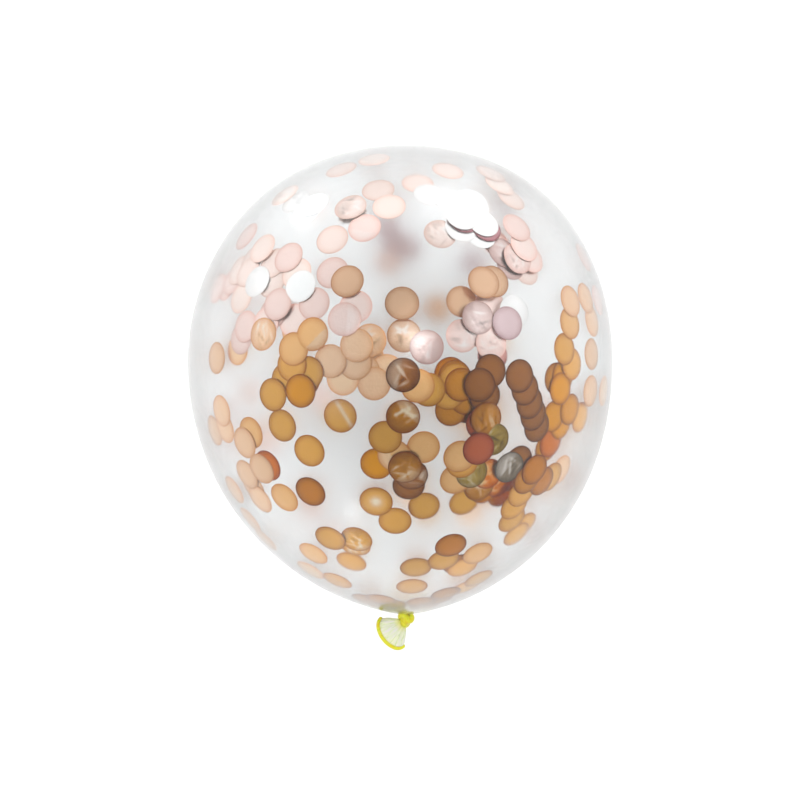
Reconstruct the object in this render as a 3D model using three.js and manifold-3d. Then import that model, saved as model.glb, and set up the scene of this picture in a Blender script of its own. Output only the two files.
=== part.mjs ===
// A clear latex party balloon, blown up and tied, lying on its side with the knot at the near end.
// Millimetres, +Z up. The long axis runs along Y, the crown at +Y and the knot at -Y.
// The origin is on the floor, in the small flat under the belly, the widest part.
// The balloon is one piece of rubber: skin, pleated neck, overhand knot and flattened tail with its rolled lip.
// It is sealed, so the skin is a solid here. The confetti inside is not part of this file.
import * as THREE from "three";
import { mergeVertices } from "three/addons/utils/BufferGeometryUtils.js";
import Module from "manifold-3d";

// Skin
const bellyRadius = 144; // a 12 inch balloon blown up a little short of full
const crownHeight = 145.5; // from the belly to the crown, along Y
const neckDepth = 173; // from the belly to the neck, along Y
const crownFullness = 0.715; // how far the crown stays flat, as a share of the belly's radius
const shoulderFullness = 0.45; // how far the belly stays upright towards the crown
const flankFullness = 0.54; // and towards the neck
const funnelRadiusShare = 0.565; // where the funnel above the neck starts to close in
const funnelDepthShare = 0.918;
const bellySway = 4; // the belly leans this far to -X from the line between crown and neck
const swayPower = 1.5;
const restFlatDepth = 1.3; // the floor presses the belly in by this much
const skinSides = 64;
const crownSteps = 13;
const flankSteps = 18;

// Neck
const neckRadius = 2.8;
const neckLength = 4; // from the skin's end to the middle of the knot
const pleatCount = 8;
const pleatDepth = 0.4;
const pleatReach = 26; // how far up the skin the pleats run out
const neckSteps = 2;

// Knot: an overhand knot, seen from +Z as two lobes over a narrower foot
const knotWidth = 11; // over the strands
const knotStrandRadius = 2.1;
const knotDepthShare = 0.62; // how far the strands swing up and down in Z, to their swing in X
const knotHeightShare = 0.97; // and in Y
const knotTaper = 0.05; // the lobes stand apart and the foot closes in by this share for each millimetre of Y
const knotLean = 6; // degrees that the foot leans to -X
const knotCoreRadius = 3.9; // the rubber squeezed together in the middle of the strands
const strandSides = 16;
const arcSteps = 12;
const knotArcs = 3; // the loop is cut into this many arcs, which overlap
const arcOverlap = 0.35; // radians past each end

// Tail: the rest of the neck past the knot, pressed flat like a fan, with its mouth open a little
const tailPointX = -0.6; // from the knot's centre to the fan's point
const tailPointY = -1.2;
const tailLength = 19; // from the fan's point to the lip
const tailSpread = 90; // degrees between the fan's two folds at the lip
const tailBulge = 30; // and this many more at the point, so that the folds bow outwards
const tailTurn = 221; // degrees from +X to the middle of the fan, seen from +Z
const cornerDraw = 0.12; // the lip's two ends are drawn in by this share of the length
const tailWall = 0.5;
const throatGap = 2.6; // between the two layers at the knot, over the outside
const mouthGap = 6.6; // and at the lip
const throatStart = 0.16; // where the fan leaves the knot, as a share of its length
const hollowStart = 0.34; // where the hollow between the layers ends
const lipRadius = 1.35; // the rolled bead around the mouth
const fanSides = 36;
const fanSteps = 5;
const lipSteps = 7;
const lipCurl = 2.8; // one end of the lip curls up and the other down by this much

const axisHeight = bellyRadius - restFlatDepth;
const neckX = bellySway;
const knotCentre = new THREE.Vector3(neckX, -(neckDepth + neckLength), axisHeight);

const upward = new THREE.Vector3(0, 0, 1);

const wasm = await Module();
wasm.setup();

// A closed three.js geometry as a solid for joining and cutting.
function solidOf(geometry) {
  const bare = new THREE.BufferGeometry();
  bare.setAttribute("position", geometry.getAttribute("position"));
  if (geometry.index) bare.setIndex(geometry.index);
  const merged = mergeVertices(bare, 1e-3);
  return new wasm.Manifold(
    new wasm.Mesh({
      numProp: 3,
      vertProperties: merged.attributes.position.array,
      triVerts: new Uint32Array(merged.index.array),
    }),
  );
}

function geometryOf(solid) {
  const mesh = solid.getMesh();
  const geometry = new THREE.BufferGeometry();
  geometry.setAttribute("position", new THREE.BufferAttribute(mesh.vertProperties, mesh.numProp));
  geometry.setIndex(new THREE.BufferAttribute(mesh.triVerts, 1));
  return geometry;
}

// Rings of equally many points, joined into a skin and closed at both ends over their middles.
function loft(rings) {
  const sides = rings[0].length;
  const points = rings.flat();
  const middle = (ring) => ring.reduce((sum, p) => sum.add(p), new THREE.Vector3()).divideScalar(sides);
  points.push(middle(rings[0]), middle(rings.at(-1)));
  const first = points.length - 2;
  const last = points.length - 1;
  const index = [];
  for (let k = 0; k < sides; k++) {
    const next = (k + 1) % sides;
    index.push(first, next, k);
    for (let r = 0; r + 1 < rings.length; r++) {
      const low = r * sides;
      const high = low + sides;
      index.push(low + k, low + next, high + next, low + k, high + next, high + k);
    }
    const top = (rings.length - 1) * sides;
    index.push(top + k, top + next, last);
  }
  return new THREE.BufferGeometry().setFromPoints(points).setIndex(index);
}

// The skin's outline from the crown to the neck, as (radius, height along Y).
function skinOutline() {
  const crown = new THREE.CubicBezierCurve(
    new THREE.Vector2(0, crownHeight),
    new THREE.Vector2(crownFullness * bellyRadius, crownHeight),
    new THREE.Vector2(bellyRadius, shoulderFullness * crownHeight),
    new THREE.Vector2(bellyRadius, 0),
  );
  const flank = new THREE.CubicBezierCurve(
    new THREE.Vector2(bellyRadius, 0),
    new THREE.Vector2(bellyRadius, -flankFullness * neckDepth),
    new THREE.Vector2(funnelRadiusShare * bellyRadius, -funnelDepthShare * neckDepth),
    new THREE.Vector2(neckRadius, -neckDepth),
  );
  const neck = new THREE.LineCurve(
    new THREE.Vector2(neckRadius, -neckDepth),
    new THREE.Vector2(neckRadius, -(neckDepth + neckLength)),
  );
  const outline = [
    ...crown.getSpacedPoints(crownSteps),
    ...flank.getSpacedPoints(flankSteps).slice(1),
    ...neck.getSpacedPoints(neckSteps).slice(1),
  ];
  outline.push(new THREE.Vector2(0, -(neckDepth + neckLength)));
  return outline.reverse(); // a lathe's faces point out when its outline climbs
}

// How far the axis has swung to +X at a height, being nothing at the belly.
function swayAt(y) {
  const share = y > 0 ? y / crownHeight : -y / neckDepth;
  return bellySway * Math.min(share, 1) ** swayPower;
}

// How strongly the pleats show at a height: fully at the neck, not at all above their reach.
function pleatAt(y) {
  const share = THREE.MathUtils.clamp((pleatReach - (y + neckDepth)) / pleatReach, 0, 1);
  return share * share;
}

function skinAndNeck() {
  const lathe = new THREE.LatheGeometry(skinOutline(), skinSides);
  const position = lathe.getAttribute("position");
  const point = new THREE.Vector3();
  for (let i = 0; i < position.count; i++) {
    point.fromBufferAttribute(position, i);
    const radius = Math.hypot(point.x, point.z);
    if (radius > neckRadius / 2) {
      const angle = Math.atan2(point.z, point.x);
      const pleated = radius + pleatDepth * pleatAt(point.y) * Math.cos(pleatCount * angle);
      point.x *= pleated / radius;
      point.z *= pleated / radius;
    }
    position.setXYZ(i, point.x + swayAt(point.y), point.y, point.z + axisHeight);
  }
  return solidOf(lathe);
}

// The floor's side, which presses the resting flat into the belly.
function underFloor() {
  const size = 4 * bellyRadius;
  return solidOf(new THREE.BoxGeometry(size, size, size).translate(0, 0, -size / 2));
}

const trefoilReach = 2.6; // half the width that sin t + 2 sin 2t swings over

// The middle line of the overhand knot: a trefoil loop around the knot's centre.
class KnotLine extends THREE.Curve {
  constructor(from, to) {
    super();
    this.from = from;
    this.to = to;
    this.swing = (knotWidth / 2 - knotStrandRadius) / trefoilReach;
  }

  getPoint(share, target = new THREE.Vector3()) {
    const t = THREE.MathUtils.lerp(this.from, this.to, share);
    const height = this.swing * knotHeightShare * (Math.cos(t) - 2 * Math.cos(2 * t));
    target.set(
      this.swing * (Math.sin(t) + 2 * Math.sin(2 * t)) * (1 + knotTaper * height),
      height,
      this.swing * 2 * knotDepthShare * Math.sin(3 * t),
    );
    return target.applyAxisAngle(upward, -THREE.MathUtils.degToRad(knotLean)).add(knotCentre);
  }
}

function knot() {
  const section = new THREE.Shape().absarc(0, 0, knotStrandRadius, 0, 2 * Math.PI);
  const turn = (2 * Math.PI) / knotArcs;
  const arcs = Array.from({ length: knotArcs }, (_, k) => {
    const line = new KnotLine(k * turn - arcOverlap, (k + 1) * turn + arcOverlap);
    const options = { steps: arcSteps, bevelEnabled: false, curveSegments: strandSides / 2, extrudePath: line };
    return solidOf(new THREE.ExtrudeGeometry(section, options));
  });
  const core = new THREE.SphereGeometry(knotCoreRadius, strandSides, strandSides / 2);
  core.translate(...knotCentre);
  return wasm.Manifold.union([...arcs, solidOf(core)]);
}

// The tail as a flattened cone. Its rings run out along the outside, over the rolled lip and back inside.
function tail() {
  const point = knotCentre.clone().add(new THREE.Vector3(tailPointX, tailPointY, 0));
  const middle = THREE.MathUtils.degToRad(tailTurn);
  // A point of the ring at a share of the tail's length: side 0 to 1 around it, and how far off the wall's middle.
  const at = (share, side, off, over = 0) => {
    const turn = side * 2 * Math.PI;
    const half = THREE.MathUtils.degToRad(tailSpread + tailBulge * (1 - share)) / 2;
    const reach = share * tailLength * (1 - cornerDraw * share * Math.cos(turn) ** 6);
    const gap = THREE.MathUtils.lerp(throatGap, mouthGap, share) / 2;
    const wide = reach * half;
    const normal = new THREE.Vector2(gap * Math.cos(turn), wide * Math.sin(turn)).normalize();
    const bearing = middle + half * Math.cos(turn) + (normal.x * off) / Math.max(reach, neckRadius);
    const out = reach + over;
    return new THREE.Vector3(
      Math.cos(bearing) * out,
      Math.sin(bearing) * out,
      gap * Math.sin(turn) + normal.y * off + lipCurl * share * share * Math.cos(turn),
    ).add(point);
  };
  const ring = (share, off, over) =>
    Array.from({ length: fanSides }, (_, k) => at(share, k / fanSides, off, over));
  const spread = (from, to, steps) =>
    Array.from({ length: steps + 1 }, (_, k) => THREE.MathUtils.lerp(from, to, k / steps));
  const wall = tailWall / 2;
  const grip = Math.asin(wall / lipRadius);
  const neckOfLip = 1 - (lipRadius * Math.cos(grip)) / tailLength;
  const rings = [
    ...spread(throatStart, neckOfLip, fanSteps).map((share) => ring(share, wall)),
    ...spread(Math.PI - grip, grip - Math.PI, lipSteps + 1)
      .slice(1, -1)
      .map((turn) => ring(1, lipRadius * Math.sin(turn), lipRadius * Math.cos(turn))),
    ...spread(neckOfLip, hollowStart, fanSteps).map((share) => ring(share, -wall)),
  ];
  return solidOf(loft(rings));
}

function latexBalloon() {
  const solid = wasm.Manifold.union([skinAndNeck(), knot(), tail()]).subtract(underFloor());
  const rubber = new THREE.MeshStandardMaterial({ color: 0xe6e9e8, roughness: 0.25, metalness: 0 });
  rubber.transparent = true;
  rubber.opacity = 0.3;
  const mesh = new THREE.Mesh(geometryOf(solid), rubber);
  mesh.name = "latex_balloon";
  return mesh;
}

const balloon = new THREE.Group();
balloon.add(latexBalloon());

export default balloon;
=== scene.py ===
# A clear confetti balloon lying on its side, dressed around its CAD frame. Metres, +Z up.
import math
import random

import bpy
import numpy as np
from mathutils import Matrix, Vector
from mathutils.bvhtree import BVHTree


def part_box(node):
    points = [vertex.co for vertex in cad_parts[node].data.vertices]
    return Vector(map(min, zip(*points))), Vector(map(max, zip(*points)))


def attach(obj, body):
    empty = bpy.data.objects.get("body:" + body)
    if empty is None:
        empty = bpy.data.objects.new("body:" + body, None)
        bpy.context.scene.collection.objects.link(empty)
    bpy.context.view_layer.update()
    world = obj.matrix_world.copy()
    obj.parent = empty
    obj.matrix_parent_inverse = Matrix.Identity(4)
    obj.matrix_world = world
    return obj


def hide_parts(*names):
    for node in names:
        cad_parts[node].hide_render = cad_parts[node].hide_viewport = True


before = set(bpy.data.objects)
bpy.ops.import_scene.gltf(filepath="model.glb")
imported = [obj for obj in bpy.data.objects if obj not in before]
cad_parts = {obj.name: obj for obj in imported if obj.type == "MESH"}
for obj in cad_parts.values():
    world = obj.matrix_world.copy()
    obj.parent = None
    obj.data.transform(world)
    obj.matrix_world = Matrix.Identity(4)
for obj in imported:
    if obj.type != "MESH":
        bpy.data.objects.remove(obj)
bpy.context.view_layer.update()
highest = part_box("latex_balloon")[1]
dice = random.Random(20)
millimetre = 0.001

bellyRadius = highest.x  # the belly is the widest part, and the frame's Y starts there
crownHeight = highest.y
axisHeight = highest.z - bellyRadius
print("frame read: belly radius", round(bellyRadius, 4), "axis height", round(axisHeight, 4))


# Camera: it looks straight down, so that the balloon's long axis runs up the picture
picture = {"side": 800, "middle": 400}  # pixels
eye = {"lens": 56.5, "sensor": 36, "distance": 0.864, "aimY": -0.0261, "nearest": 0.01}


def eyePlace():
    return Vector((0, eye["aimY"], axisHeight + eye["distance"]))


def addCamera():
    data = bpy.data.cameras.new("camera")
    data.lens = eye["lens"]
    data.sensor_width = eye["sensor"]
    data.clip_start = eye["nearest"]
    camera = bpy.data.objects.new("camera", data)
    camera.location = eyePlace()
    bpy.context.scene.collection.objects.link(camera)
    bpy.context.scene.camera = camera


def sightLine(pixel):  # the line of sight through a pixel of the photograph
    step = eye["sensor"] / picture["side"]
    across = (pixel[0] - picture["middle"]) * step
    up = (picture["middle"] - pixel[1]) * step
    return eyePlace(), Vector((across, up, -eye["lens"])).normalized()


addCamera()
print("camera placed")


# Shader nodes
class Signal:  # one output socket, so that shader maths reads as Python
    def __init__(self, recipe, socket):
        self.recipe = recipe
        self.socket = socket

    def maths(self, operation, first, second):
        return self.recipe.node("Math", {"operation": operation}, {0: first, 1: second})

    def __add__(self, other):
        return self.maths("ADD", self, other)

    __radd__ = __add__

    def __sub__(self, other):
        return self.maths("SUBTRACT", self, other)

    def __rsub__(self, other):
        return self.maths("SUBTRACT", other, self)

    def __mul__(self, other):
        return self.maths("MULTIPLY", self, other)

    __rmul__ = __mul__


class Recipe:  # a node tree that is filled one node at a time
    def __init__(self, owner):
        owner.use_nodes = True
        self.tree = owner.node_tree
        self.tree.nodes.clear()

    def pick(self, sockets, key):
        if isinstance(key, int):
            return sockets[key]
        return next(s for s in sockets if key in (s.identifier, s.name))

    def node(self, kind, settings=None, sockets=None, output=0):  # output None for a node without one
        made = self.tree.nodes.new("ShaderNode" + kind)
        for key, value in (settings or {}).items():
            setattr(made, key, value)
        for key, value in (sockets or {}).items():
            target = self.pick(made.inputs, key)
            if isinstance(value, Signal):
                self.tree.links.new(value.socket, target)
            else:
                target.default_value = value
        return None if output is None else Signal(self, self.pick(made.outputs, output))

    def read(self, name, output="Fac"):  # a value that the mesh carries
        return self.node("Attribute", {"attribute_name": name}, output=output)

    def noise(self, place, scale, detail):
        return self.node("TexNoise", None, {"Vector": place, "Scale": scale, "Detail": detail}, "Fac")

    def between(self, value, low, high):  # 0 below low, 1 above high and smooth between
        settings = {"interpolation_type": "SMOOTHSTEP"}
        sockets = {"Value": value, "From Min": low, "From Max": high}
        return self.node("MapRange", settings, sockets, "Result")

    def mix(self, share, first, second):  # two colours
        sockets = {"Factor_Float": share, "A_Color": first, "B_Color": second}
        return self.node("Mix", {"data_type": "RGBA"}, sockets, "Result_Color")

    def bump(self, height, strength, distance):
        sockets = {"Height": height, "Strength": strength, "Distance": distance}
        return self.node("Bump", None, sockets, "Normal")

    def finish(self, sockets, kind="BsdfPrincipled", outlet="OutputMaterial"):
        self.node(outlet, None, {"Surface": self.node(kind, None, sockets)}, None)


def colour(tone):
    return (*tone, 1)


# Meshes
fieldKinds = {1: ("FLOAT", "value"), 3: ("FLOAT_VECTOR", "vector"), 4: ("FLOAT_COLOR", "color")}
curveSteps = 400  # fine steps along a curve, from which the even ones are taken


def addValues(mesh, name, data):  # a number, a vector or a colour for each point
    data = np.asarray(data, float).reshape(len(mesh.vertices), -1)
    kind, field = fieldKinds[data.shape[1]]
    mesh.attributes.new(name, kind, "POINT").data.foreach_set(field, data.ravel())


def meshPiece(name, points, faces, material, values=None):
    mesh = bpy.data.meshes.new(name)
    mesh.from_pydata([tuple(p) for p in points], [], faces)
    for key, data in (values or {}).items():
        addValues(mesh, key, data)
    mesh.materials.append(material)
    mesh.shade_smooth()
    mesh.update()
    piece = bpy.data.objects.new(name, mesh)
    bpy.context.scene.collection.objects.link(piece)
    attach(piece, "root")
    return piece


def bezier(corners, count):  # points of a cubic curve, evenly spaced along it
    corners = np.array(corners, float)
    t = np.linspace(0, 1, curveSteps)[:, None]
    weights = ((1 - t) ** 3, 3 * t * (1 - t) ** 2, 3 * t * t * (1 - t), t ** 3)
    curve = sum(w * c for w, c in zip(weights, corners))
    walked = np.concatenate(([0], np.cumsum(np.hypot(*np.diff(curve, axis=0).T))))
    places = np.linspace(0, walked[-1], count)
    return np.column_stack([np.interp(places, walked, curve[:, k]) for k in (0, 1)])


def ramp(value, low, high):  # 0 at low, 1 at high and straight between
    return np.clip((value - low) / (high - low), 0, 1)


def waves(parts, angle):  # uneven folds, each part with its count, share and phase
    return sum(share * np.cos(count * angle + phase) for count, share, phase in parts)


def ringFaces(rings, sides, first=0, closed=False):  # quads between rings of points
    faces = []
    for r in range(rings if closed else rings - 1):
        low = first + r * sides
        high = first + ((r + 1) % rings) * sides
        for k in range(sides):
            nextOne = (k + 1) % sides
            faces.append((low + k, low + nextOne, high + nextOne, high + k))
    return faces


# Skin: a lathed teardrop with a swaying axis, pleats at the neck and the floor's flat under the belly
skin = {
    "neckDepth": 0.173,
    "neckRadius": 0.0028,
    "neckLength": 0.004,
    "crownFullness": 0.715,  # this share and the next four draw the outline's curves
    "shoulderFullness": 0.45,
    "flankFullness": 0.54,
    "funnelRadius": 0.565,
    "funnelDepth": 0.918,
    "sway": 0.004,
    "swayPower": 1.5,
    "pleatReach": 0.03,
    "pleatDepth": 0.0005,
    "pleatWaves": ((8, 1.0, 0.0), (13, 0.6, 1.1), (21, 0.4, 2.3)),
    "wall": 0.00025,
    "neckWall": 0.0008,
    "thickReach": 0.02,  # the wall thickens over this length above the neck
    "yellowReach": 0.012,  # and its colour deepens over this one
    "yellowPower": 1.5,
    "sides": 168,
    "crownRows": 46,
    "flankRows": 78,
    "neckRows": 4,
    "clear": ((0.935, 0.952, 0.957), (0.95, 0.962, 0.966)),  # the film's tone lies between these two
    "yellow": (0.94, 0.93, 0.62),
    "hazeScale": 9,
    "hazeDetail": 3,
    "roughness": 0.17,
    "hazeRoughness": 0.06,
    "ior": 1.43,
}


def skinOutline():
    radius, top, deep = bellyRadius, crownHeight, skin["neckDepth"]
    high = (skin["crownFullness"] * radius, top)
    shoulder = (radius, skin["shoulderFullness"] * top)
    crown = bezier([(0, top), high, shoulder, (radius, 0)], skin["crownRows"])
    hip = (radius, -skin["flankFullness"] * deep)
    funnel = (skin["funnelRadius"] * radius, -skin["funnelDepth"] * deep)
    flank = bezier([(radius, 0), hip, funnel, (skin["neckRadius"], -deep)], skin["flankRows"])
    shares = np.arange(1, skin["neckRows"] + 1) / skin["neckRows"]
    neck = [(skin["neckRadius"], -deep - skin["neckLength"] * share) for share in shares]
    return np.vstack([crown[1:], flank[1:], neck])


def swayAt(y):  # how far the axis has swung to +X
    share = np.where(y > 0, y / crownHeight, -y / skin["neckDepth"])
    return skin["sway"] * np.clip(share, 0, 1) ** skin["swayPower"]


def gatherAt(y, reach):  # 1 at the neck and 0 above the reach
    return np.clip(1 - (y + skin["neckDepth"]) / reach, 0, 1)


def pleats(angle, y):  # uneven folds that run up from the neck
    return skin["pleatDepth"] * gatherAt(y, skin["pleatReach"]) ** 2 * waves(skin["pleatWaves"], angle)


def skinPoints():
    outline = skinOutline()
    angle = np.arange(skin["sides"]) / skin["sides"] * 2 * math.pi
    y = np.repeat(outline[:, 1], skin["sides"])
    turn = np.tile(angle, len(outline))
    radius = np.repeat(outline[:, 0], skin["sides"]) + pleats(turn, y)
    x = radius * np.cos(turn) + swayAt(y)
    z = axisHeight + radius * np.sin(turn)
    body = np.column_stack([x, y, np.maximum(z, 0)])
    crown = (swayAt(np.float64(crownHeight)), crownHeight, axisHeight)
    neckEnd = (skin["sway"], outline[-1, 1], axisHeight)
    return np.vstack([body, crown, neckEnd])


def skinFaces(inward=False):
    sides = skin["sides"]
    rings = len(skinOutline())
    crown = rings * sides
    neckEnd = crown + 1
    faces = ringFaces(rings, sides)
    last = (rings - 1) * sides
    for k in range(sides):
        nextOne = (k + 1) % sides
        faces.append((crown, nextOne, k))
        faces.append((neckEnd, last + k, last + nextOne))
    return [tuple(reversed(face)) for face in faces] if inward else faces


def normalsOf(points, faces):
    mesh = bpy.data.meshes.new("scratch")
    mesh.from_pydata([tuple(p) for p in points], [], faces)
    mesh.update()
    found = np.zeros(len(points) * 3)
    mesh.vertex_normals.foreach_get("vector", found)
    bpy.data.meshes.remove(mesh)
    return found.reshape(-1, 3)


outside = skinPoints()
outsideNormals = normalsOf(outside, skinFaces())
neckShare = gatherAt(outside[:, 1], skin["thickReach"]) ** 2
thickness = skin["wall"] + (skin["neckWall"] - skin["wall"]) * neckShare
inside = outside - outsideNormals * thickness[:, None]
innerWall = BVHTree.FromPolygons([tuple(p) for p in inside], skinFaces())


def clearLatex():
    material = bpy.data.materials.new("clear_latex")
    recipe = Recipe(material)
    place = recipe.node("TexCoord", output="Object")
    haze = recipe.noise(place, skin["hazeScale"], skin["hazeDetail"])
    clear = recipe.mix(haze, *[colour(tone) for tone in skin["clear"]])
    recipe.finish({
        "Base Color": recipe.mix(recipe.read("gather"), clear, colour(skin["yellow"])),
        "Roughness": skin["roughness"] + skin["hazeRoughness"] * haze,
        "Transmission Weight": 1.0,
        "IOR": skin["ior"],
    })
    return material


def addSkin():
    count = len(outside)
    inner = [tuple(k + count for k in face) for face in skinFaces(inward=True)]
    gather = gatherAt(outside[:, 1], skin["yellowReach"]) ** skin["yellowPower"]
    points = np.vstack([outside, inside])
    values = {"gather": np.concatenate([gather, gather])}
    piece = meshPiece("balloon_skin", points, skinFaces() + inner, clearLatex(), values)
    piece.visible_shadow = False  # a film this thin keeps back next to no light
    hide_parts("latex_balloon")


addSkin()
print("skin made:", len(outside) * 2, "points")


# Gathered rubber: the neck's end, the knot and the tail, thick and yellow
knot = {
    "centre": Vector((skin["sway"], -skin["neckDepth"] - skin["neckLength"], axisHeight)),
    "width": 0.011,
    "strand": 0.0021,  # the rolled strand's radius
    "core": 0.0039,  # and that of the ball which fills the knot's middle
    "coreSides": 32,
    "depth": 0.62,  # as shares of the width
    "height": 0.97,
    "taper": 0.05,  # towards the foot, for each millimetre
    "lean": 6,  # degrees
    "reach": 2.6,  # how far the knot's line swings for a swing of 1
    "steps": 150,
    "sides": 28,
    "ridges": 3,  # round the strand
    "ridgeTurns": 8,  # on the way once round the knot
    "ridgeDepth": 0.07,
    "grain": 0.00022,
    "softening": 3,
    "layScale": 420,  # how fine its streaks are
}
tail = {
    "point": Vector((-0.0006, -0.0012, 0)),  # from the knot's centre to the fan's point
    "length": 0.019,
    "spread": 90,  # degrees between the fan's two folds at the lip
    "bulge": 30,  # and this many more at the point, so that the folds bow outwards
    "turn": 221,
    "cornerDraw": 0.12,  # the lip's two ends are drawn in by this share of the length
    "cornerPower": 6,
    "wall": 0.0005,
    "throatGap": 0.0026,
    "mouthGap": 0.0066,
    "throatStart": 0.16,
    "hollowStart": 0.34,
    "lip": 0.00135,
    "curl": 0.0028,
    "sides": 160,
    "steps": 26,
    "lipSteps": 18,
    "ripple": 0.00034,
    "rippleWaves": ((5, 1.0, 0.6), (9, 0.6, 2.0)),
    "lipBand": (0.92, 0.97),  # the rubber thickens between these shares of the length
    "throatBand": (0.42, 0.12),  # and from the first of these down to the second
    "streakLay": (9, 2.4, 1000),  # how fine its streaks are round the fan, along it and through it
}
rubberLook = {
    "pale": ((0.64, 0.70, 0.40), (0.74, 0.70, 0.66)),  # the thin fan's tone lies between these two
    "yellow": ((0.60, 0.64, 0.03), (0.60, 0.50, 0.01)),  # and the thick rolls' between these
    "streakDetail": 3,
    "streakBand": (0.3, 0.7),
    "roughness": 0.26,
    "streakRoughness": 0.14,
    "transmission": 0.12,
    "subsurface": 0.5,
    "subsurfaceRadius": (0.003, 0.0025, 0.001),
    "ior": 1.5,
    "bump": (0.35, 0.0002),  # strength and depth
}


def gatheredRubber():
    material = bpy.data.materials.new("gathered_rubber")
    recipe = Recipe(material)
    grain = recipe.noise(recipe.read("lay", "Vector"), 1.0, rubberLook["streakDetail"])
    streaks = recipe.between(grain, *rubberLook["streakBand"])
    pale = recipe.mix(streaks, *[colour(tone) for tone in rubberLook["pale"]])
    yellow = recipe.mix(streaks, *[colour(tone) for tone in rubberLook["yellow"]])
    recipe.finish({
        "Base Color": recipe.mix(recipe.read("thick"), pale, yellow),
        "Roughness": rubberLook["roughness"] + rubberLook["streakRoughness"] * streaks,
        "Transmission Weight": rubberLook["transmission"],
        "Subsurface Weight": rubberLook["subsurface"],
        "Subsurface Radius": rubberLook["subsurfaceRadius"],
        "Subsurface Scale": 1.0,
        "IOR": rubberLook["ior"],
        "Normal": recipe.bump(streaks, *rubberLook["bump"]),
    })
    return material


def knotLine():
    t = np.arange(knot["steps"]) / knot["steps"] * 2 * math.pi
    swing = (knot["width"] / 2 - knot["strand"]) / knot["reach"]
    x = swing * (np.sin(t) + 2 * np.sin(2 * t))
    y = swing * knot["height"] * (np.cos(t) - 2 * np.cos(2 * t))
    z = swing * 2 * knot["depth"] * np.sin(3 * t)
    x = x * (1 + knot["taper"] * y / millimetre)
    lean = Matrix.Rotation(-math.radians(knot["lean"]), 3, "Z")
    return np.array([lean @ Vector(p) + knot["centre"] for p in zip(x, y, z)])


def strandMesh(line):  # a tube around the closed line, with shallow ridges that twist round it
    ahead = np.roll(line, -1, 0) - np.roll(line, 1, 0)
    ahead /= np.linalg.norm(ahead, axis=1)[:, None]
    out = line - line.mean(0)
    out -= (out * ahead).sum(1)[:, None] * ahead
    out /= np.linalg.norm(out, axis=1)[:, None]
    side = np.cross(ahead, out)
    steps, sides = knot["steps"], knot["sides"]
    points = []
    for k in range(steps):
        twist = knot["ridgeTurns"] * k / steps * 2 * math.pi
        for s in range(sides):
            angle = s / sides * 2 * math.pi
            ridge = 1 + knot["ridgeDepth"] * math.cos(knot["ridges"] * angle + twist)
            spoke = math.cos(angle) * out[k] + math.sin(angle) * side[k]
            points.append(line[k] + knot["strand"] * ridge * spoke)
    return points, ringFaces(steps, sides, closed=True)


def addKnot(rubber):
    points, faces = strandMesh(knotLine())
    piece = meshPiece("knot", points, faces, rubber)
    sides = knot["coreSides"]
    bpy.ops.mesh.primitive_uv_sphere_add(
        segments=sides, ring_count=sides // 2, radius=knot["core"], location=knot["centre"]
    )
    core = bpy.context.active_object
    core.data.transform(core.matrix_world)
    core.matrix_world = Matrix.Identity(4)
    for one in (piece, core):
        one.select_set(True)
    bpy.context.view_layer.objects.active = piece
    bpy.ops.object.join()
    remesh = piece.modifiers.new("one skin", "REMESH")
    remesh.mode = "VOXEL"
    remesh.voxel_size = knot["grain"]
    soften = piece.modifiers.new("soften", "SMOOTH")
    soften.iterations = knot["softening"]
    bpy.ops.object.modifier_apply(modifier=remesh.name)
    bpy.ops.object.modifier_apply(modifier=soften.name)
    mesh = piece.data
    addValues(mesh, "thick", np.ones(len(mesh.vertices)))
    addValues(mesh, "lay", [vertex.co * knot["layScale"] for vertex in mesh.vertices])
    mesh.shade_smooth()
    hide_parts("latex_balloon")


def fanPoint(share, side, off, over):  # at a share of the length and of the way round
    turn = side * 2 * math.pi
    half = math.radians(tail["spread"] + tail["bulge"] * (1 - share)) / 2
    drawn = tail["cornerDraw"] * share * math.cos(turn) ** tail["cornerPower"]
    reach = share * tail["length"] * (1 - drawn)
    gap = (tail["throatGap"] + (tail["mouthGap"] - tail["throatGap"]) * share) / 2
    normal = Vector((gap * math.cos(turn), reach * half * math.sin(turn))).normalized()
    bearing = math.radians(tail["turn"]) + half * math.cos(turn)
    bearing += normal.x * off / max(reach, skin["neckRadius"])
    height = gap * math.sin(turn) + normal.y * off + tail["curl"] * share * share * math.cos(turn)
    height += tail["ripple"] * waves(tail["rippleWaves"], turn) * math.sin(math.pi * min(share, 1))
    out = reach + over
    step = Vector((math.cos(bearing) * out, math.sin(bearing) * out, height))
    return knot["centre"] + tail["point"] + step


# Each ring has its share of the length, how far it is off the wall's middle and how far over the end
def tailRings():  # out along the fan, round its lip and back in
    wall = tail["wall"] / 2
    grip = math.asin(wall / tail["lip"])
    lipNeck = 1 - tail["lip"] * math.cos(grip) / tail["length"]
    rings = [(share, wall, 0) for share in np.linspace(tail["throatStart"], lipNeck, tail["steps"])]
    for turn in np.linspace(math.pi - grip, grip - math.pi, tail["lipSteps"])[1:-1]:
        rings.append((1, tail["lip"] * math.sin(turn), tail["lip"] * math.cos(turn)))
    rings += [(share, -wall, 0) for share in np.linspace(lipNeck, tail["hollowStart"], tail["steps"])]
    return rings


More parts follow.
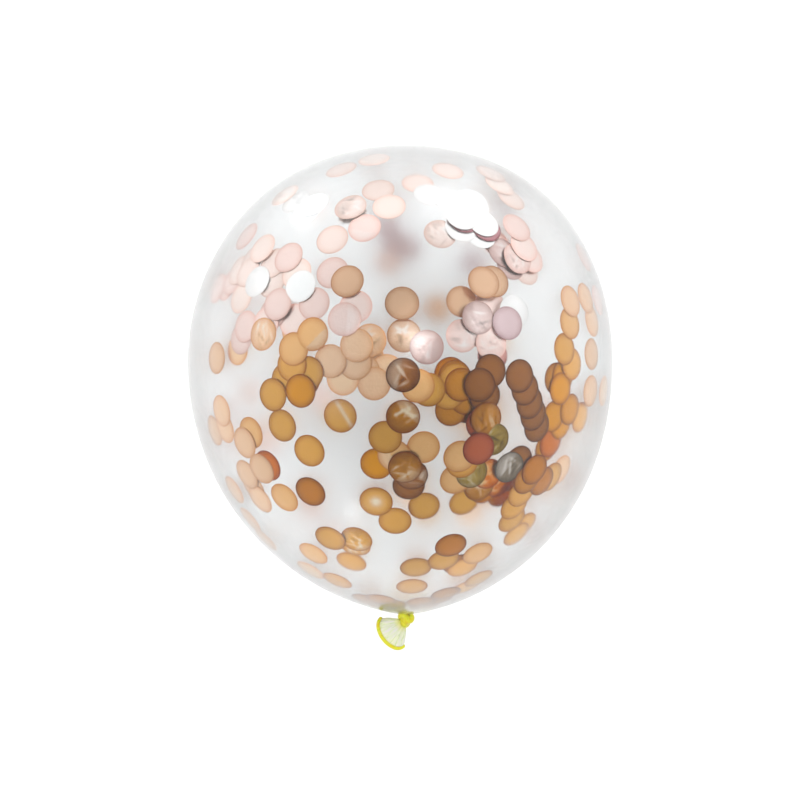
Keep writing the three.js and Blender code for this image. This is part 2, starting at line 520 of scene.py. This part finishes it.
def addTail(rubber):
    rings = tailRings()
    sides = tail["sides"]
    around, along, through = tail["streakLay"]
    points, thick, lay = [], [], []
    for share, off, over in rings:
        edge = ramp(share, *tail["lipBand"]) + ramp(share, *tail["throatBand"])
        for k in range(sides):
            points.append(fanPoint(share, k / sides, off, over))
            thick.append(edge)
            lay.append((around * math.cos(k / sides * 2 * math.pi), along * share, through * off))
    faces = ringFaces(len(rings), sides)
    for ring, outward in ((0, True), (len(rings) - 1, False)):
        points.append(sum((points[ring * sides + k] for k in range(sides)), Vector()) / sides)
        thick.append(1)
        lay.append((0, 0, 0))
        for k in range(sides):
            pair = (ring * sides + k, ring * sides + (k + 1) % sides)
            faces.append((len(points) - 1, *(pair if outward else reversed(pair))))
    piece = meshPiece("tail", points, faces, rubber, {"thick": thick, "lay": lay})
    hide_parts("latex_balloon")


rubber = gatheredRubber()
addKnot(rubber)
addTail(rubber)
print("knot and tail made")


# Confetti: discs of foil film that cling to the inner wall
disc = {
    "radius": 0.010,
    "film": 0.0001,
    "clearance": 0.00012,  # from the wall to the first disc, and between two that overlap
    "deepest": 0.008,  # no disc of a heap starts further in
    "plain": (8, 40),  # rings and sides of a flat disc's mesh
    "bent": (18, 72),  # and of one that is bent or carries painted light
    "rimStart": 0.86,
    "rimCurl": 0.0001,
    "bow": 0.00015,
    "foldRise": 0.001,
    "foldFrom": (0.1, 0.4),  # where a fold starts, as a share of the radius
    "foldLight": 0.35,
    "facets": ((0.0004, 0.16), (0.0003, 0.14), (0.0002, 0.1)),  # rise of each, and the contrast of its painted light and shade
    "facetEdge": 0.06,
    "facetReach": 0.45,
    "streaks": 9,
    "streakSize": (0.085, 0.4),
    "streakReach": (0.6, 0.5),
    "streakSigns": (-1, 1, 1),  # painted glints, and a third of them dark streaks of painted shade
    "streakLight": (0.35, 0.7),
    # a painted highlight stripe across a flat disc
    "stripe": {"turn": 33, "offset": 0.27, "width": 0.13, "light": 0.7},
    # a real dent with a painted highlight in its middle
    "dent": {"width": 0.32, "light": 1.1, "depth": 0.0003},
}
foilLook = {
    "lightness": (0.92, 1.06),  # from disc to disc
    "glint": (1.0, 0.9, 0.85),
    "glintShare": 0.4,  # of that tone in a painted glint; the rest is the disc's own
    "glintPower": 0.3,
    "shadeLightness": 0.35,
    "shadePower": 1.4,
    "paleShadeCut": 0.3,  # how much weaker the painted shade is on pale foil
    "rimLight": (0.36, 0.62),  # how light the rim's painted shade stays on deep foil, and what pale foil adds
    "placeScale": 4,
    "placeStep": 3.7,  # so that no two discs crinkle alike
    "crinkle": (1.6, 4),  # scale and detail
    "blotch": (0.7, 1),
    "edgeBand": (0.55, 0.92),
    "rimBand": (0.86, 1.0),
    "shades": (0.16, 0.38, 0.44),  # of the blotches, which are random tone, and of the edge and the rim, which are painted shade
    "roughness": 0.24,
    "crinkleRoughness": 0.16,
    "bump": (0.5, 0.0004),  # strength and depth
}
# These tones are partly the foil's own, which differs from disc to disc, and partly painted light: all
# discs are one rose-gold foil, the pale tones are painted highlight and the deep ones painted shade.
litFoilTones = {
    "silver": (1.0, 0.98, 0.97),
    "blush": (1.0, 0.82, 0.75),
    "rose": (1.0, 0.78, 0.72),
    "shell": (0.80, 0.60, 0.56),
    "salmon": (0.86, 0.46, 0.40),
    "peach": (1.0, 0.66, 0.41),
    "honey": (0.91, 0.47, 0.10),
    "tan": (0.98, 0.57, 0.23),
    "sand": (0.80, 0.51, 0.32),
    "gold": (0.84, 0.43, 0.075),
    "amber": (0.88, 0.36, 0.0),
    "ember": (0.80, 0.20, 0.0),
    "copper": (0.68, 0.23, 0.0),
    "bronze": (0.65, 0.26, 0.02),
    "cocoa": (0.38, 0.13, 0.02),
    "ruby": (0.56, 0.12, 0.04),
    "steel": (0.31, 0.24, 0.17),
    "olive": (0.44, 0.29, 0.05),
    "lilac": (0.72, 0.55, 0.56),
    "plum": (0.64, 0.31, 0.34),
    "mauve": (0.66, 0.48, 0.52),
}
# Each seat is a pixel of the photograph and a tone, and a bend where the disc isn't flat or carries
# painted light and shade.
# In each heap the first lies on top.
clusters = {
    "crown_left": [
        (313, 204, "silver"), (284, 194, "blush", "creased_lit"), (294, 199, "silver", "creased_lit"),
        (304, 213, "silver"), (341, 169, "blush"), (374, 159, "blush"), (389, 206, "blush"),
        (378, 189, "blush"), (350, 206, "blush", "creased_lit"), (332, 239, "blush"),
        (364, 226, "rose", "folded_lit"), (352, 215, "silver", "creased_lit"),
    ],
    "left_shoulder": [
        (256, 281, "silver", "creased_lit"), (246, 236, "rose"), (262, 248, "blush"),
        (288, 257, "rose"), (246, 271, "blush"), (250, 259, "blush"), (272, 262, "blush"),
        (236, 269, "blush"), (300, 286, "silver"), (296, 273, "blush"), (229, 279, "rose"),
        (214, 287, "rose"), (223, 284, "rose"), (239, 297, "blush"), (270, 281, "blush"),
    ],
    "left_flank": [
        (277, 304, "rose"), (262, 334, "peach", "creased_lit"), (264, 323, "rose"),
        (270, 313, "rose"), (291, 319, "rose"), (294, 330, "peach"), (243, 326, "rose"),
        (238, 338, "rose"), (234, 349, "peach"), (216, 358, "peach"),
    ],
    "left_middle": [
        (347, 281, "sand"), (332, 272, "rose"), (312, 334, "tan", "folded_lit"), (313, 303, "rose"),
        (344, 319, "rose", "folded_lit"), (355, 306, "rose"), (356, 345, "peach"),
        (369, 340, "peach", "creased_lit"), (329, 361, "peach"), (354, 363, "peach"),
        (341, 379, "peach"), (373, 384, "peach"), (362, 371, "peach"), (386, 371, "peach"),
        (366, 356, "peach"),
    ],
    "left_gold": [
        (300, 391, "amber"), (293, 349, "tan"), (291, 365, "honey"), (272, 395, "gold"),
        (307, 373, "gold"), (284, 380, "gold"), (303, 380, "amber"), (281, 426, "gold"),
        (309, 451, "gold"), (244, 443, "peach"), (250, 433, "tan"), (221, 411, "peach"),
        (224, 428, "peach"), (213, 431, "peach"),
    ],
    "lower_left": [
        (261, 469, "peach"), (267, 466, "ember"), (246, 475, "peach"), (259, 500, "peach"),
        (252, 488, "peach"), (284, 498, "tan"), (310, 492, "copper"), (234, 490, "peach"),
        (250, 520, "peach"), (265, 540, "peach"),
    ],
    "bottom_left": [
        (330, 539, "gold"), (356, 541, "gold", "creased_lit"), (354, 548, "honey", "creased_lit"),
        (350, 566, "honey"), (313, 554, "tan"), (337, 581, "honey"), (310, 571, "peach"),
        (381, 600, "bronze"), (366, 600, "bronze"), (392, 605, "bronze"), (384, 607, "bronze"),
    ],
    "middle_top": [
        (402, 303, "sand"), (427, 347, "shell", "creased_lit"), (403, 375, "cocoa", "creased_lit"),
        (404, 335, "sand", "creased_lit"), (418, 386, "tan"), (429, 390, "gold"),
    ],
    "middle": [
        (340, 416, "gold", "striped"), (403, 417, "bronze", "creased_lit"), (385, 438, "gold"),
        (405, 468, "bronze", "creased_lit"), (394, 457, "tan", "folded_lit"), (376, 466, "amber"),
        (424, 449, "tan"), (412, 478, "cocoa", "creased_lit"), (409, 489, "cocoa"),
        (376, 502, "gold", "dented"), (395, 522, "gold"), (425, 511, "gold"),
    ],
    # The silver discs here are painted highlight, and the plum ones peek out between them as dark
    # crescents of painted shade.
    "crown_right": [
        (462, 216, "silver"), (484, 222, "silver"), (464, 218, "plum"), (487, 226, "plum"),
        (462, 226, "silver"), (482, 232, "silver"), (475, 203, "silver"), (452, 199, "silver"),
        (474, 197, "silver"), (430, 191, "silver"), (441, 231, "blush", "creased_lit"),
        (418, 179, "blush"), (448, 170, "blush"), (491, 173, "blush"), (500, 184, "blush"),
        (512, 197, "blush"),
    ],
    "crown_fold": [
        (517, 227, "rose"), (525, 246, "rose"), (519, 257, "rose", "creased_lit"), (533, 256, "rose"),
        (506, 250, "shell", "creased_lit"), (514, 262, "shell"), (499, 239, "rose"),
        (530, 267, "blush"), (584, 257, "rose"),
    ],
    "right_top": [
        (508, 323, "lilac"), (515, 311, "silver"), (479, 317, "shell", "creased_lit"),
        (493, 343, "rose", "creased_lit"), (464, 335, "rose", "creased_lit"),
        (485, 331, "shell", "creased_lit"), (484, 282, "sand"), (494, 281, "sand"),
        (494, 302, "rose"), (465, 299, "sand"), (497, 355, "salmon", "folded_lit"),
        (497, 322, "silver"),
    ],
    "right_brown": [
        (487, 419, "bronze", "creased_lit"), (480, 385, "cocoa"), (491, 371, "cocoa"),
        (486, 396, "cocoa"), (483, 424, "ruby"), (462, 385, "bronze"), (457, 380, "gold"),
        (456, 377, "bronze"), (452, 374, "copper"), (450, 394, "gold"), (468, 399, "bronze"),
        (453, 411, "bronze"), (470, 408, "cocoa"),
    ],
    "brown_band": [
        (520, 376, "cocoa"), (526, 389, "cocoa"), (531, 403, "cocoa"), (535, 415, "cocoa"),
        (539, 427, "cocoa"),
    ],
    "right_gold": [
        (571, 301, "peach"), (571, 323, "tan"), (566, 349, "honey"), (574, 364, "honey"),
        (563, 389, "amber"), (566, 376, "amber"), (559, 379, "bronze"), (573, 410, "amber"),
        (584, 418, "honey"), (557, 417, "amber"), (565, 425, "amber"), (555, 444, "ember"),
        (551, 449, "amber"),
    ],
    "right_edge": [
        (586, 298, "peach"), (593, 321, "peach"), (592, 354, "peach"), (591, 391, "peach"),
        (604, 391, "peach"), (598, 300, "rose"),
    ],
    "right_lower": [
        (479, 449, "ruby"), (495, 440, "olive", "creased_lit"), (460, 457, "tan"), (463, 463, "gold"),
        (473, 474, "olive", "creased_lit"), (510, 468, "steel", "creased_lit"), (520, 462, "cocoa"),
        (457, 481, "tan"), (490, 476, "ember", "creased_lit"), (482, 490, "bronze", "creased_lit"),
        (503, 487, "ember", "creased_lit"), (516, 482, "copper", "creased_lit"), (490, 496, "copper"),
        (468, 509, "gold"), (508, 500, "copper"), (474, 492, "gold"),
    ],
    "right_tips": [
        (535, 470, "copper"), (528, 480, "bronze"), (543, 482, "copper"), (553, 478, "honey"),
        (563, 471, "peach"), (523, 494, "honey"), (516, 508, "gold"), (514, 522, "gold"),
        (519, 537, "gold"), (527, 528, "gold"),
    ],
    "bottom_right": [
        (451, 546, "copper"), (444, 561, "gold"), (478, 554, "tan"), (463, 569, "honey"),
        (459, 566, "copper"), (479, 579, "gold"), (416, 569, "gold"), (412, 587, "honey"),
        (446, 594, "bronze"), (421, 603, "bronze"), (438, 601, "bronze"), (466, 588, "honey"),
        (424, 607, "bronze"),
    ],
}
farSeats = [
    (385, 225, "mauve"), (395, 240, "mauve"), (408, 247, "mauve"), (388, 261, "rose"),
    (474, 262, "mauve"), (438, 308, "honey"), (505, 205, "mauve"), (250, 392, "rose"),
    (267, 443, "rose"), (323, 398, "rose"), (311, 508, "rose"), (575, 480, "blush"),
]
# The under side's own discs, which those seats hide
hidden = {
    "tries": 6000,
    "count": 110,
    "cover": 5,  # pixels from a seat, at most
    "gap": 0.011,  # between two of them
    "across": (195, 605),
    "down": (150, 610),
    "split": 330,  # above this pixel row the paler tones are drawn, as painted light; below it the deeper ones, as painted shade
    "upperLitTones": ("silver", "blush", "blush", "rose"),
    "lowerShadedTones": ("rose", "peach", "tan", "gold", "copper"),
    "bends": ("", "", "", "creased_lit"),
}


def confettiFoil():
    material = bpy.data.materials.new("confetti_foil")
    recipe = Recipe(material)
    place = recipe.read("discPlace", "Vector")  # across the disc, with its own number along Z
    fromMiddle = recipe.read("fromMiddle")
    crinkle = recipe.noise(place, *foilLook["crinkle"])
    blotch = recipe.noise(place, *foilLook["blotch"])
    # The edge and the rim are drawn toward the darker rim tone as painted shade; the blotches vary the
    # tone at random.
    edge = recipe.between(fromMiddle, *foilLook["edgeBand"])
    rim = recipe.between(fromMiddle, *foilLook["rimBand"])
    blotchShade, edgeShade, rimShade = foilLook["shades"]
    shade = blotchShade * blotch + edgeShade * edge + rimShade * rim
    tone = recipe.mix(shade, recipe.read("foilToneAndLight", "Color"), recipe.read("foilRim", "Color"))
    recipe.finish({
        "Base Color": tone,
        "Metallic": 1.0,
        "Roughness": foilLook["roughness"] + foilLook["crinkleRoughness"] * crinkle,
        "Normal": recipe.bump(crinkle, *foilLook["bump"]),
    })
    return material


def anyTurn():
    return dice.uniform(0, 2 * math.pi)


def either(reach):  # as far as the reach, to either side
    return dice.uniform(-reach, reach)


def pastLine(u, v, turn, offset):  # how far each place lies past a straight line across the disc
    return u * math.cos(turn) + v * math.sin(turn) - offset


def bendFoil(bend, u, v):  # how far the foil stands off its flat, in metres, and its painted light and shade
    along = pastLine(u, v, anyTurn(), 0)
    rise = disc["bow"] * either(1) * along ** 2
    light = np.ones(len(u))
    if bend == "folded_lit":
        past = np.maximum(along - dice.uniform(*disc["foldFrom"]), 0)
        rise = rise + disc["foldRise"] * past
        # the flap past the fold is painted lighter
        light = light + disc["foldLight"] * (past > 0)
    if bend == "striped":
        stripe = disc["stripe"]
        past = pastLine(u, v, math.radians(stripe["turn"]), stripe["offset"])
        # a pale stripe across the flat disc: a painted highlight
        light = light + stripe["light"] * np.exp(-(past / stripe["width"]) ** 2)
    if bend == "dented":
        dent = disc["dent"]
        hollowAndGlint = np.exp(-(u * u + v * v) / dent["width"] ** 2)
        rise = rise + dent["depth"] * hollowAndGlint
        # the dent's middle is painted lighter: a painted highlight
        light = light + dent["light"] * hollowAndGlint
    if bend == "creased_lit":
        for height, contrast in disc["facets"]:
            past = pastLine(u, v, anyTurn(), either(disc["facetReach"]))
            rise = rise + height * np.abs(past)
            # each facet is painted lighter or darker, as if lit from one side
            light = light + contrast * np.tanh(past / disc["facetEdge"])
        width, length = disc["streakSize"]
        sideReach, endReach = disc["streakReach"]
        # streaks of painted glint, and some of painted shade
        for _ in range(disc["streaks"]):
            turn = anyTurn()
            across = pastLine(u, v, turn, either(sideReach))
            down = pastLine(v, -u, turn, either(endReach))
            contrast = dice.choice(disc["streakSigns"]) * dice.uniform(*disc["streakLight"])
            light = light + contrast * np.exp(-(across / width) ** 2 - (down / length) ** 2)
    return rise, light


def discGrid(rings, sides):  # places across a disc of radius 1, and how far each is from the middle
    shares = np.sin(np.arange(1, rings + 1) / rings * math.pi / 2)  # closer together towards the rim
    angles = (np.arange(sides) + dice.uniform(0, 1)) / sides * 2 * math.pi
    u = np.append(0, np.outer(shares, np.cos(angles)))
    v = np.append(0, np.outer(shares, np.sin(angles)))
    return u, v, np.append(0, np.repeat(shares, sides))


def discFaces(rings, sides, count):  # front, back and the cut rim
    front = [(0, 1 + k, 1 + (k + 1) % sides) for k in range(sides)]
    front += [tuple(reversed(face)) for face in ringFaces(rings, sides, 1)]
    back = [tuple(reversed([index + count for index in face])) for face in front]
    rim = []
    for k in range(sides):
        a = count - sides + k
        b = count - sides + (k + 1) % sides
        rim.append((a, a + count, b + count, b))
    return front + back + rim


def foilColours(tone, light):  # the tone at each place with its painted glints and shade, and the darker one that the rim takes as painted shade
    tint = np.array(tone) * dice.uniform(*foilLook["lightness"])
    # light above 1 becomes a painted glint, below 1 painted shade
    glint = np.clip(light - 1, 0, 1)[:, None]
    paintedShade = np.clip(1 - light, 0, 1)[:, None] * (1 - foilLook["paleShadeCut"] * tint[2])
    share = foilLook["glintShare"]
    glintTone = (1 - share) * tint ** foilLook["glintPower"] + share * np.array(foilLook["glint"])
    paintedShadeTone = foilLook["shadeLightness"] * tint ** foilLook["shadePower"]
    lit = np.clip(tint * (1 - glint - paintedShade) + glint * glintTone + paintedShade * paintedShadeTone, 0, 1)
    # the rim's darker, deeper tone is painted shade
    deep, pale = foilLook["rimLight"]
    rim = np.clip(tint ** 2 * (deep + pale * math.sqrt(tint[2])), 0, 1)
    return np.column_stack([lit, np.ones(len(light))]), np.tile(np.append(rim, 1), (len(light), 1))


def foilDisc(seat, out, tone, bend, start, number):
    rings, sides = disc["bent"] if bend else disc["plain"]
    u, v, far = discGrid(rings, sides)
    count = len(u)
    side = (Vector((1, 0, 0)) - out * out.x).normalized()
    up = out.cross(side)
    rise, light = bendFoil(bend, u, v)
    heights = rise + disc["rimCurl"] * ramp(far, disc["rimStart"], 1) ** 2
    heights += start - heights.min()
    front, back = [], []
    for k in range(count):
        flat = seat + (side * u[k] + up * v[k]) * disc["radius"]
        wallPoint, wallNormal, _, _ = innerWall.find_nearest(flat)
        front.append(wallPoint - wallNormal * heights[k])
        back.append(wallPoint - wallNormal * (heights[k] + disc["film"]))
    foilToneAndLight, foilRim = foilColours(tone, light)
    scale, step = foilLook["placeScale"], foilLook["placeStep"]
    place = np.column_stack([u * scale, v * scale, np.full(count, number * step)])
    values = {"foilToneAndLight": foilToneAndLight, "foilRim": foilRim, "discPlace": place, "fromMiddle": far}
    values = {key: np.concatenate([data, data]) for key, data in values.items()}
    return front + back, discFaces(rings, sides, count), values, heights.max() + disc["film"]


def wallSeat(pixel, far=False):  # where the line of sight meets the inner wall
    start, ahead = sightLine(pixel)
    point, normal, _, _ = innerWall.ray_cast(start, ahead)
    if point is None:
        return None
    if far:
        point, normal, _, _ = innerWall.ray_cast(point + ahead * millimetre, ahead)
    return point, normal


def seatOnWall(seat, far=False):  # its place, the wall's normal there, its tone and its bend
    tone, bend = (*seat[2:], "")[:2]
    return (*wallSeat(seat[:2], far), tone, bend)


def addCluster(name, seats, foil, number):
    points, faces, placed = [], [], []
    values = {"foilToneAndLight": [], "foilRim": [], "discPlace": [], "fromMiddle": []}
    for index, (point, normal, tone, bend) in enumerate(seats):
        above = [deep for other, deep in placed if (other - point).length < 2 * disc["radius"]]
        start = min(max(above, default=0) + disc["clearance"], disc["deepest"])
        made = foilDisc(point, normal, litFoilTones[tone], bend, start, number + index)
        discPoints, discFacets, discValues, deep = made
        placed.append((point, deep))
        shift = len(points)
        points += discPoints
        faces += [tuple(k + shift for k in face) for face in discFacets]
        for key in values:
            values[key].append(discValues[key])
    values = {key: np.concatenate(parts) for key, parts in values.items()}
    piece = meshPiece("confetti_" + name, points, faces, foil, values)


def hiddenSeats(near):  # a scatter on the far wall, seen only from the other side
    found = []
    for _ in range(hidden["tries"]):
        pixel = (dice.uniform(*hidden["across"]), dice.uniform(*hidden["down"]))
        if not any(math.dist(pixel, seat[:2]) < hidden["cover"] for seat in near):
            continue
        hit = wallSeat(pixel, far=True)
        if hit is None or any((hit[0] - other[0]).length < hidden["gap"] for other in found):
            continue
        tone = dice.choice(hidden["upperLitTones" if pixel[1] < hidden["split"] else "lowerShadedTones"])
        found.append((*hit, tone, dice.choice(hidden["bends"])))
        if len(found) == hidden["count"]:
            break
    return found


def addConfetti():
    foil = confettiFoil()
    number = 1
    for name, seats in clusters.items():
        addCluster(name, [seatOnWall(seat) for seat in seats], foil, number)
        number += len(seats)
    addCluster("far_side", [seatOnWall(seat, far=True) for seat in farSeats], foil, number)
    number += len(farSeats)
    under = hiddenSeats([seat for seats in clusters.values() for seat in seats])
    # two pieces, so that neither mesh grows too heavy
    addCluster("under_crown", [seat for seat in under if seat[0].y > 0], foil, number)
    addCluster("under_neck", [seat for seat in under if seat[0].y <= 0], foil, number + len(under))
    print("confetti made:", number - 1, "discs in sight and", len(under), "under them")


addConfetti()


# Floor, lamps and sky
stage = {
    "floorSize": 8,
    "tones": ((0.92, 0.92, 0.92), (0.94, 0.94, 0.94)),  # the floor's tone lies between these two
    "grain": (3, 2),  # scale and detail
    "roughness": 0.9,
    "specular": 0.1,
}
# The top lamp lights the floor. The skin mirrors each of the others at a pixel of the photograph.
lamps = {
    "top": {"place": (0, 0, 2.4), "size": (3.2, 3.2), "power": 48},
    "crown_right": {"glint": (458, 206), "distance": 0.40, "size": (0.23, 0.20), "power": 0.32},
    "crown_left": {"glint": (312, 217), "distance": 0.40, "size": (0.11, 0.12), "power": 0.12},
    "left": {"glint": (266, 283), "distance": 0.45, "size": (0.08, 0.05), "power": 0.05},
    "left_middle": {"glint": (337, 360), "distance": 0.45, "size": (0.42, 0.20), "power": 0.42},
    "middle": {"glint": (416, 342), "distance": 0.45, "size": (0.05, 0.05), "power": 0.16},
    "right_middle": {"glint": (474, 328), "distance": 0.45, "size": (0.06, 0.06), "power": 0.12},
    "right": {"glint": (517, 302), "distance": 0.45, "size": (0.06, 0.05), "power": 0.055},
    "neck": {"glint": (351, 509), "distance": 0.45, "size": (0.06, 0.09), "power": 0.10},
    "neck_spot": {"glint": (375, 503), "distance": 0.45, "size": (0.02, 0.02), "power": 0.015},
}
lampFloor = 0.09  # no lamp stands lower
sky = {"base": 1.06, "towardCrown": 0.28, "overhead": 0.55, "overheadBand": (0.35, 0.95)}


def addFloor():
    material = bpy.data.materials.new("pale_floor")
    recipe = Recipe(material)
    grain = recipe.noise(recipe.node("TexCoord", output="Object"), *stage["grain"])
    recipe.finish({
        "Base Color": recipe.mix(grain, *[colour(tone) for tone in stage["tones"]]),
        "Roughness": stage["roughness"],
        "Specular IOR Level": stage["specular"],
    })
    half = stage["floorSize"] / 2
    mesh = bpy.data.meshes.new("floor")
    corners = [(-half, -half, 0), (half, -half, 0), (half, half, 0), (-half, half, 0)]
    mesh.from_pydata(corners, [], [(0, 1, 2, 3)])
    mesh.materials.append(material)
    floor = bpy.data.objects.new("floor", mesh)
    bpy.context.scene.collection.objects.link(floor)


def mirrorPlace(pixel, distance):  # where a lamp shows as a glint on the skin
    point, normal = wallSeat(pixel)
    ahead = sightLine(pixel)[1]
    place = point + distance * ahead.reflect(normal)
    return Vector((place.x, place.y, max(place.z, lampFloor))), point


def addLamps():
    for name, lamp in lamps.items():
        mirrored = "glint" in lamp
        if mirrored:
            place, target = mirrorPlace(lamp["glint"], lamp["distance"])
        else:
            place, target = Vector(lamp["place"]), Vector((0, 0, axisHeight))
        data = bpy.data.lights.new(name, "AREA")
        data.shape = "RECTANGLE"
        data.size, data.size_y = lamp["size"]
        data.energy = lamp["power"]
        panel = bpy.data.objects.new("lamp_" + name, data)
        panel.location = place
        panel.rotation_mode = "QUATERNION"
        panel.rotation_quaternion = (target - place).to_track_quat("-Z", "Y")
        panel.visible_camera = False
        panel.visible_glossy = mirrored
        panel.visible_transmission = False
        bpy.context.scene.collection.objects.link(panel)


def addSky():
    world = bpy.data.worlds.new("studio")
    bpy.context.scene.world = world
    recipe = Recipe(world)
    way = recipe.node("TexCoord", output="Generated")
    toCrown = recipe.node("SeparateXYZ", None, {"Vector": way}, "Y")
    height = recipe.node("SeparateXYZ", None, {"Vector": way}, "Z")
    overhead = recipe.between(height, *sky["overheadBand"])
    power = (sky["base"] + sky["towardCrown"] * toCrown) * (1 - (1 - sky["overhead"]) * overhead)
    recipe.finish({"Color": colour((1, 1, 1)), "Strength": power}, "Background", "OutputWorld")


addFloor()
addLamps()
addSky()
bpy.context.scene.view_settings.view_transform = "Standard"
print("floor, lamps and sky made")
